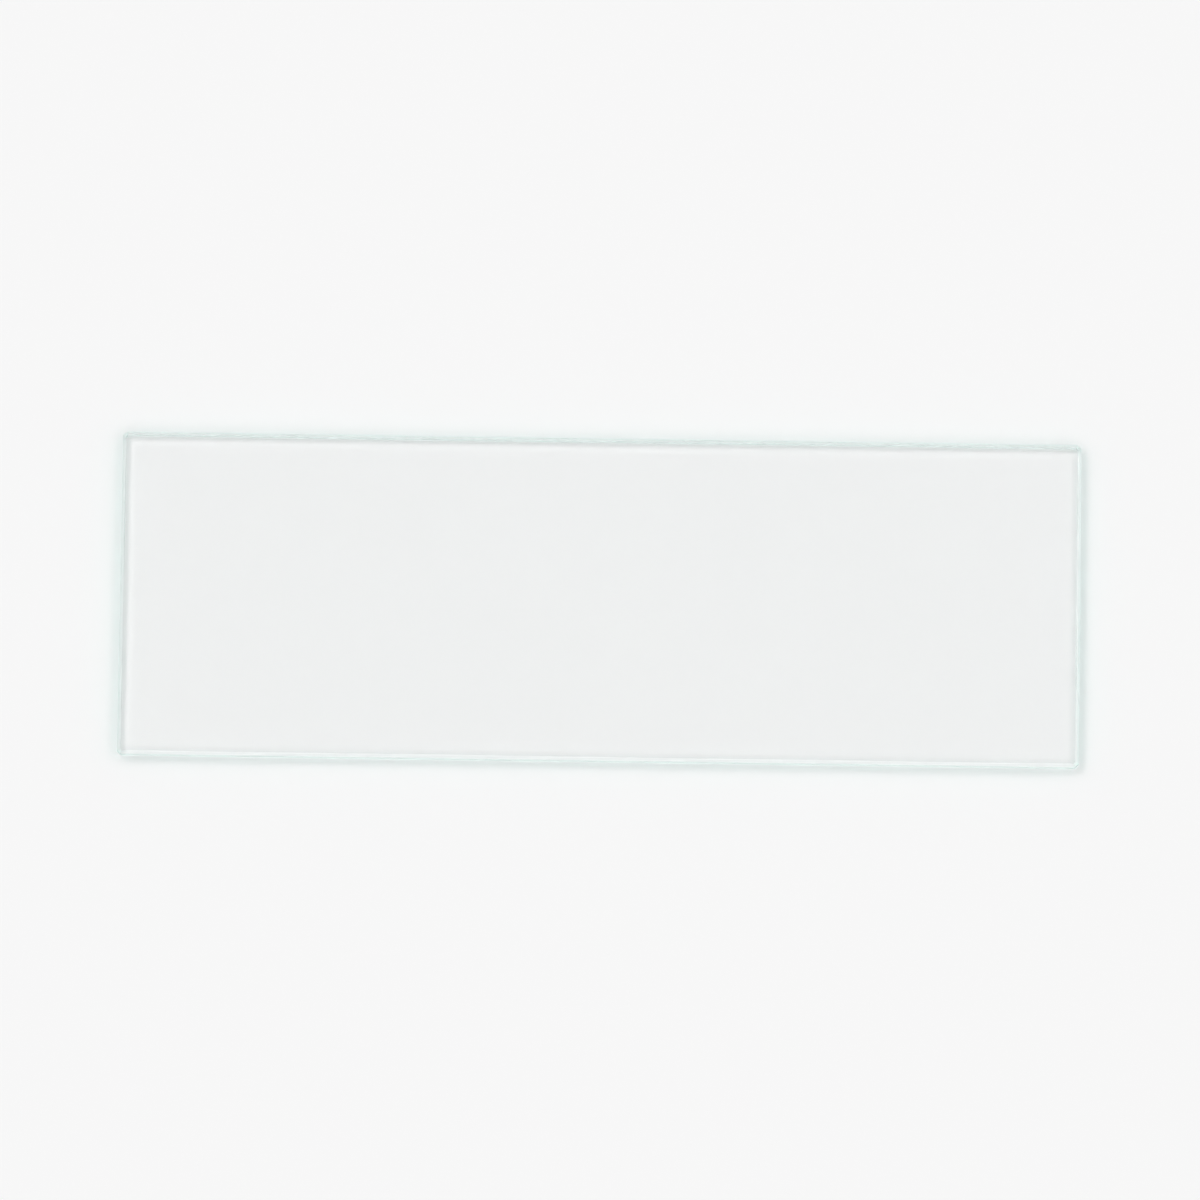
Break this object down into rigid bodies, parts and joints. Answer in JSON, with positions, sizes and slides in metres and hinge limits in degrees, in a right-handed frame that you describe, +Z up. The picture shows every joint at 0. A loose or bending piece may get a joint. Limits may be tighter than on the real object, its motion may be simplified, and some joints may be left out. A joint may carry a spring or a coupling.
{
  "type": "microscope slide",
  "caption": "Plain clear glass microscope slide: a thin flat rectangle with ground, bevelled edges that holds a specimen under a microscope.",
  "frame": {"origin": "middle of the underside, the broad face that the slide lies on", "axes": "+X along the length, +Y across the width, +Z up through the thickness, out of the face that takes the specimen"},
  "size_m": [0.076, 0.026, 0.0011],
  "materials": {
    "glass": "clear polished faces, finely ground satin edges"
  },
  "bodies": {
    "root": {"glass_slide": "glass"}
  },
  "joints": []
}
